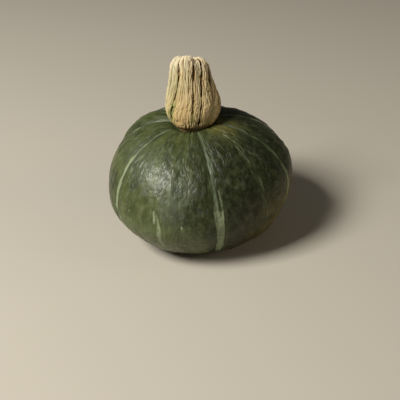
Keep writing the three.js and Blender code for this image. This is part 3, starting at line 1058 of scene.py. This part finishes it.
def streaks_group() -> bpy.types.NodeTree:
    """Soft streaks along the meridians, for the rind's mottling and the cork's fibres."""
    inputs = {"Grain": None, "Across": 6.0, "Along": 20.0, "Low": 0.35, "High": 0.65, "Detail": 3.0}
    tree, board, given, result = new_group("meridian_streaks", inputs, "Streaks")
    parts = board.add("SeparateXYZ", {0: given["Grain"]}).outputs
    sizes = (given["Across"], given["Across"], given["Along"])
    scaled = [board.math("DIVIDE", part, size) for part, size in zip(parts, sizes)]
    place = board.add("CombineXYZ", dict(enumerate(scaled))).outputs[0]
    value = board.add("TexNoise", {"Vector": place, "Scale": 1.0, "Detail": given["Detail"]}).outputs[0]
    sockets = {"Value": value, "From Min": given["Low"], "From Max": given["High"]}
    board.feed(result, board.add("MapRange", sockets).outputs["Result"])
    return tree


def specks_group() -> bpy.types.NodeTree:
    """Scattered small round specks, some left out, for the rind's dots and the cork's pits."""
    inputs = {"Grain": None, "Spacing": 5.0, "Size": 0.14, "Kept": 0.4}
    tree, board, given, result = new_group("scattered_specks", inputs, "Specks")
    scale = board.math("DIVIDE", 1.0, given["Spacing"])
    cells = board.add("TexVoronoi", {"Vector": given["Grain"], "Scale": scale}).outputs
    pick = board.add("SeparateColor", {0: cells["Color"]}).outputs
    size = board.times(given["Size"], board.math("ADD", pick[1], 0.5))
    sockets = {"Value": cells["Distance"], "From Min": size, "From Max": board.times(size, 0.4)}
    dot = board.add("MapRange", sockets, interpolation_type="SMOOTHSTEP").outputs["Result"]
    board.feed(result, board.times(dot, board.math("LESS_THAN", pick[0], given["Kept"])))
    return tree


@dataclass(frozen=True)
class Streaks:
    """One placing of the streaks: their size in millimetres, and the noise that gives 0 and 1."""

    across: float
    along: float
    low: float
    high: float
    detail: float = 3.0


@dataclass(frozen=True)
class Specks:
    """One placing of the specks: spacing in millimetres, size in spacings, and the share kept."""

    spacing: float
    size: float
    kept: float


@dataclass
class Effects:
    """The node groups that both finishes place, each with its own values."""

    streaks: bpy.types.NodeTree
    specks: bpy.types.NodeTree

    @staticmethod
    def build() -> "Effects":
        """Makes each group once."""
        return Effects(streaks_group(), specks_group())

    def place(self, board: Board, values: Streaks | Specks) -> Socket:
        """Places the group that the values are for, and returns its output."""
        tree = self.streaks if isinstance(values, Streaks) else self.specks
        sockets = {name.capitalize(): value for name, value in asdict(values).items()}
        sockets["Grain"] = board.mark(Mark.GRAIN)
        return board.add("Group", sockets, node_tree=tree).outputs[0]


@dataclass(frozen=True)
class RindFinish:
    """Dark green rind with mottling, pale stripes, specks, an olive blush and painted shade, light and sheen.
    """

    deep: Colour = (0.021, 0.027, 0.008)
    green: Colour = (0.057, 0.069, 0.017)
    light: Colour = (0.104, 0.124, 0.050)
    # colour of the painted shade
    shaded: Colour = (0.008, 0.010, 0.003)
    furrow: Colour = (0.018, 0.026, 0.008)
    stripe_dim: Colour = (0.058, 0.073, 0.041)
    stripe_pale: Colour = (0.205, 0.240, 0.140)
    speck: Colour = (0.180, 0.215, 0.110)
    # colour of the wax patches, and of the painted sheen
    waxy: Colour = (0.200, 0.225, 0.185)
    olive: Colour = (0.150, 0.118, 0.030)
    broad: Streaks = Streaks(12.0, 20.0, 0.36, 0.64)
    blotches: Streaks = Streaks(6.2, 6.6, 0.49, 0.72)
    flecks: Streaks = Streaks(2.4, 2.8, 0.5, 0.7)
    dashes: Streaks = Streaks(1.9, 11.0, 0.5, 0.7)
    wax: Streaks = Streaks(4.6, 6.4, 0.53, 0.68)
    hammering: Streaks = Streaks(3.4, 4.6, 0.3, 0.7)
    winding: Streaks = Streaks(7.0, 13.0, 0.0, 1.0, 2.5)
    dots: Specks = Specks(5.5, 0.13, 0.42)
    roughness: float = 0.31
    specular: float = 0.25
    bump_strength: float = 0.6
    bump_depth: float = 0.4

    def ground(self, board: Board, effects: Effects) -> Socket:
        """Colour of the plain rind: mottled green, darker in furrows, with painted shade, light and sheen."""
        shade, along = board.mark(Mark.SHADE), board.mark(Mark.ALONG)
        blotches = board.times(effects.place(board, self.blotches), board.span(shade, 0.0, 1.0, 0.5, 0.26))
        wax = board.times(effects.place(board, self.wax), board.span(shade, 0.0, 1.0, 0.14, 0.07))
        # painted light: lighter low down where little painted shade lies, standing in for light thrown up
        # from below
        low = board.times(board.span(along, 0.44, 0.56, 0.0, 0.75), board.span(shade, 0.34, 0.1))
        return board.coats(board.blend(effects.place(board, self.broad), self.deep, self.green), (
            # painted shade over the lobes turned from the key
            (self.shaded, shade, 0.92),
            (self.light, blotches, 1.0),
            (self.light, effects.place(board, self.flecks), 0.16),
            (self.waxy, wax, 1.0),
            (self.light, low, 1.0),
            (self.furrow, board.mark(Mark.FURROW), 0.55),
            # painted sheen, in the same pale colour as the wax patches
            (self.waxy, board.mark(Mark.BLOOM), 0.24),
        ))

    def stripe(self, board: Board, dashes: Socket) -> Socket:
        """Where the stripes show, their edges broken up by the dashes."""
        broken = board.times(board.math("SUBTRACT", dashes, 0.4), 0.7)
        edge = board.math("ADD", board.mark(Mark.STRIPE), broken)
        return board.times(board.span(edge, -0.6, 0.45), board.span(board.noise(0.16), 0.3, 0.5, 0.6, 0.95))

    def gloss(self, board: Board, stripe: Socket) -> Socket:
        """Roughness: uneven, and higher on the shaded lobes, in the furrows and on the stripes."""
        lobes = board.times(board.math("POWER", board.mark(Mark.SHADE), 0.5), 0.45)
        lines = board.times(board.math("MAXIMUM", board.mark(Mark.FURROW), stripe), 0.6)
        uneven = board.span(board.noise(0.3, 3.0), 0.3, 0.7, self.roughness - 0.05, self.roughness + 0.1)
        return board.math("ADD", uneven, board.times(board.math("MAXIMUM", lobes, lines), 0.3))

    def normal(self, board: Board, effects: Effects) -> Socket:
        """Normal of the hammered skin, with winding creases that come and go."""
        off_crease = board.math("ABSOLUTE", board.math("SUBTRACT", effects.place(board, self.winding), 0.5))
        presence = board.span(board.noise(0.075), 0.42, 0.58, 0.25, 1.0)
        creases = board.times(board.span(off_crease, 0.0, 0.075), presence)
        height = board.math("ADD", effects.place(board, self.hammering), creases)
        return board.bump(height, self.bump_strength, self.bump_depth)

    def dress(self, piece: bpy.types.Object, effects: Effects) -> None:
        """Makes the material and gives it to a piece.

        Args:
            piece: The fruit's mesh, with its marks.
            effects: The shared node groups.
        """
        board = Board.dressing(piece, "waxy_rind")
        margin, along = board.mark(Mark.STRIPE), board.mark(Mark.ALONG)
        dashes = effects.place(board, self.dashes)
        stripe = self.stripe(board, dashes)
        pale = board.blend(board.mark(Mark.TONE), self.stripe_dim, self.stripe_pale)
        beside = board.math("MAXIMUM", board.span(margin, -5.0, -0.3), board.span(along, 0.26, 0.1, 0.0, 0.5))
        # olive tint, low on the right partly painted warm reflected light
        tint = board.times(board.mark(Mark.BLUSH), board.span(board.noise(0.09), 0.3, 0.6, 0.25, 0.8))
        colour = board.coats(self.ground(board, effects), (
            (self.light, board.times(beside, dashes), 0.5),
            (self.olive, tint, 1.0),
            (pale, stripe, 1.0),
            (self.speck, effects.place(board, self.dots), 0.4),
        ))
        board.put_out("BsdfPrincipled", {
            "Base Color": colour, "Roughness": self.gloss(board, stripe),
            "Normal": self.normal(board, effects), "Specular IOR Level": self.specular,
        })


@dataclass(frozen=True)
class CorkFinish:
    """Dry tan cork with leftover green, painted shade in its crevices, at its foot and on its left, and a
    browner foot.
    """

    tan: Colour = (0.505, 0.385, 0.185)
    pale: Colour = (0.630, 0.520, 0.320)
    bleached: Colour = (0.690, 0.610, 0.440)
    brown: Colour = (0.400, 0.262, 0.098)
    green: Colour = (0.150, 0.220, 0.045)
    sage: Colour = (0.400, 0.372, 0.215)
    # crevice: painted shade in the hollows, and also the colour of the pits
    crevice: Colour = (0.195, 0.112, 0.032)
    black: Colour = (0.055, 0.034, 0.014)
    # rim: painted shade where the stem meets the rind
    rim: Colour = (0.150, 0.070, 0.018)
    fibres: Streaks = Streaks(1.1, 7.0, 0.36, 0.66)
    bands: Streaks = Streaks(5.0, 16.0, 0.38, 0.64)
    wear: Streaks = Streaks(3.2, 30.0, 0.4, 0.62)
    pits: Specks = Specks(3.4, 0.12, 0.3)
    roughness: float = 0.85
    diffuse_roughness: float = 0.8
    specular: float = 0.3
    bump_strength: float = 0.6
    bump_depth: float = 0.5

    def weathering(self, board: Board, effects: Effects) -> Socket:
        """Where the cork is greyed: weathered in long streaks, most near the crown, and painted shade on its
        left.
        """
        upward = board.span(board.mark(Mark.ALONG), 0.1, 0.9, 0.35, 0.7)
        streaks = board.times(effects.place(board, self.wear), upward)
        return board.math("MAXIMUM", streaks, board.times(board.mark(Mark.SHADE), 0.85))

    def dress(self, piece: bpy.types.Object, effects: Effects) -> None:
        """Makes the material and gives it to a piece.

        Args:
            piece: The stem's mesh, with its marks.
            effects: The shared node groups.
        """
        board = Board.dressing(piece, "dry_cork")
        along, crevice = board.mark(Mark.ALONG), board.mark(Mark.CREVICE)
        fibres = effects.place(board, self.fibres)
        greens = board.times(board.mark(Mark.GREEN), board.span(board.noise(0.3), 0.34, 0.52, 0.35, 0.95))
        colour = board.coats(board.blend(fibres, self.tan, self.pale), (
            (self.brown, effects.place(board, self.bands), 0.3),
            (self.sage, self.weathering(board, effects), 1.0),
            (self.brown, board.span(along, 0.62, 0.05), 0.25),
            # browner low on the front, partly painted shade
            (self.brown, board.mark(Mark.BLUSH), 0.6),
            (self.bleached, board.span(along, 0.72, 0.95), 0.55),
            (self.green, greens, 1.0),
            # painted shade in the hollows, the deepest near black
            (self.crevice, board.span(crevice, 0.15, 0.6), 1.0),
            (self.black, board.span(crevice, 0.8, 1.3), 1.0),
            (self.crevice, effects.place(board, self.pits), 0.35),
            # painted shade where the stem meets the rind
            (self.rim, board.mark(Mark.FOOT), 0.55),
        ))
        height = board.math("ADD", fibres, board.noise(1.3, 4.0))
        board.put_out("BsdfPrincipled", {
            "Base Color": colour, "Normal": board.bump(height, self.bump_strength, self.bump_depth),
            "Roughness": self.roughness, "Diffuse Roughness": self.diffuse_roughness,
            "Specular IOR Level": self.specular,
        })


# ---------------------------------------------------------------- studio


@dataclass(frozen=True)
class Lamp:
    """A square soft light that faces the squash. Azimuth and elevation in degrees, size in metres."""

    name: str
    azimuth: float
    elevation: float
    size: float
    power: float
    colour: Colour
    glossy: bool = True  # whether it shows in reflections


@dataclass
class Studio:
    """Pale floor, a soft key from the left, a weak warm bounce from the right, and the camera."""

    floor_size: float = 6.0
    floor_colour: Colour = (0.39, 0.36, 0.30)
    floor_roughness: float = 0.7
    target: tuple[float, float, float] = (0.0, 0.0, 48.3 * MM)
    aim: tuple[float, float, float] = (-0.9 * MM, -11.0 * MM, 29.4 * MM)
    elevation: float = 30.2
    distance: float = 0.690
    lens: float = 76.4
    sensor: float = 36.0
    clip: tuple[float, float] = (0.05, 20.0)
    lamp_distance: float = 1.5
    lamps: tuple[Lamp, ...] = (
        Lamp("key", -58, 46, 0.5, 40.0, (1.0, 0.97, 0.92)),
        Lamp("bounce", 85, 11, 0.9, 9.0, (1.0, 0.86, 0.66), glossy=False),
    )
    air: Colour = (0.62, 0.68, 0.72)
    air_strength: float = 0.07

    def toward(self, azimuth: float, elevation: float, distance: float) -> Vector:
        """Place at a distance from the target, in the direction of an azimuth and elevation in degrees."""
        turned, raised = math.radians(azimuth), math.radians(elevation)
        level = math.cos(raised)
        away = Vector((math.sin(turned) * level, -math.cos(turned) * level, math.sin(raised)))
        return Vector(self.target) + away * distance

    def face(self, made: bpy.types.Object, place: Vector, point: tuple[float, float, float]) -> None:
        """Puts a light or a camera at a place and turns it to a point."""
        made.location = place
        made.rotation_euler = (Vector(point) - place).to_track_quat("-Z", "Y").to_euler()

    def light(self, lamp: Lamp) -> None:
        """Adds a lamp."""
        data = bpy.data.lights.new(lamp.name, "AREA")
        data.size, data.energy, data.color = lamp.size, lamp.power, lamp.colour
        made = add_object(lamp.name, data)
        made.visible_glossy = lamp.glossy
        self.face(made, self.toward(lamp.azimuth, lamp.elevation, self.lamp_distance), self.target)

    def floor(self) -> None:
        """Makes the floor, a large flat sheet at the height that the squash rests on."""
        half = self.floor_size / 2
        mesh = bpy.data.meshes.new("floor")
        corners = [(-half, -half, 0), (half, -half, 0), (half, half, 0), (-half, half, 0)]
        mesh.from_pydata(corners, [], [(0, 1, 2, 3)])
        made = add_object("floor", mesh)
        sockets = {"Base Color": self.floor_colour, "Roughness": self.floor_roughness}
        Board.dressing(made, "pale_floor").put_out("BsdfPrincipled", sockets)

    def surround(self) -> None:
        """Fills the air with a weak even light."""
        world = bpy.data.worlds.new("air")
        bpy.context.scene.world = world
        world.use_nodes = True
        sockets = {"Color": self.air, "Strength": self.air_strength}
        Board(world.node_tree).put_out("Background", sockets, "OutputWorld")

    def camera(self) -> None:
        """Adds the camera in front, looking down on the squash."""
        data = bpy.data.cameras.new("camera")
        data.lens, data.sensor_width = self.lens, self.sensor
        data.clip_start, data.clip_end = self.clip
        made = add_object("camera", data)
        self.face(made, self.toward(0.0, self.elevation, self.distance), self.aim)
        bpy.context.scene.camera = made
        bpy.context.scene.view_settings.view_transform = "Standard"

    def build(self) -> None:
        """Sets up floor, lights, air and camera."""
        self.floor()
        for lamp in self.lamps:
            self.light(lamp)
        self.surround()
        self.camera()


# ---------------------------------------------------------------- putting it together


def settle(piece: bpy.types.Object, node: str) -> None:
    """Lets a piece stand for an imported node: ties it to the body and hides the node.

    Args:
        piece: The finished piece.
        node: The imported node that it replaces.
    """
    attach(piece, BODY)
    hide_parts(node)
    LOG.info("%s stands for %s: %d points", piece.name, node, len(piece.data.vertices))


def main() -> None:
    """Builds the squash and its studio in order."""
    logging.basicConfig(level=logging.INFO, format="%(name)s: %(message)s")
    effects = Effects.build()
    fruit = Fruit().build()
    RindFinish().dress(fruit, effects)
    settle(fruit, "fruit")
    stem = Stem().build()
    CorkFinish().dress(stem, effects)
    settle(stem, "stem")
    Studio().build()


if __name__ == "__main__":
    main()
